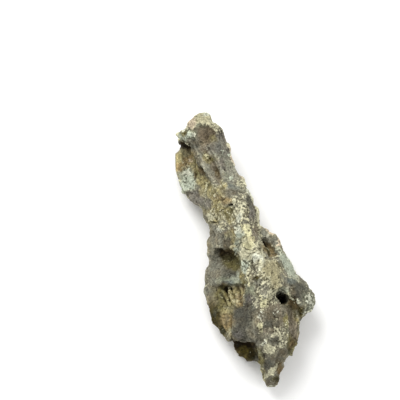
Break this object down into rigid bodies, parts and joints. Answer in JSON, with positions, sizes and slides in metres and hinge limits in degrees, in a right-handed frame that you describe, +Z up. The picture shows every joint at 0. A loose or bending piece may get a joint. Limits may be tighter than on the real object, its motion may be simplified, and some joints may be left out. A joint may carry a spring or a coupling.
{
  "type": "dragon stone",
  "caption": "Long, hollowed and ridged aquarium stone that lies on a flat cut, with a side wing, a worn-through hole and a pointed tip.",
  "frame": {"origin": "middle of the bounding box's underside, on the flat cut that the stone lies on", "axes": "+Z up, away from the surface that the stone lies on; +Y along the stone's length, from the pointed tip to the blunt head; +X towards the side wing"},
  "size_m": [0.1228, 0.243, 0.0645],
  "materials": {
    "weathered_stone": "rough, unpolished clay stone with a pale cream crust on its ridges and darker olive and brown hollows"
  },
  "bodies": {
    "root": {"dragon_stone": "weathered_stone"}
  },
  "joints": []
}
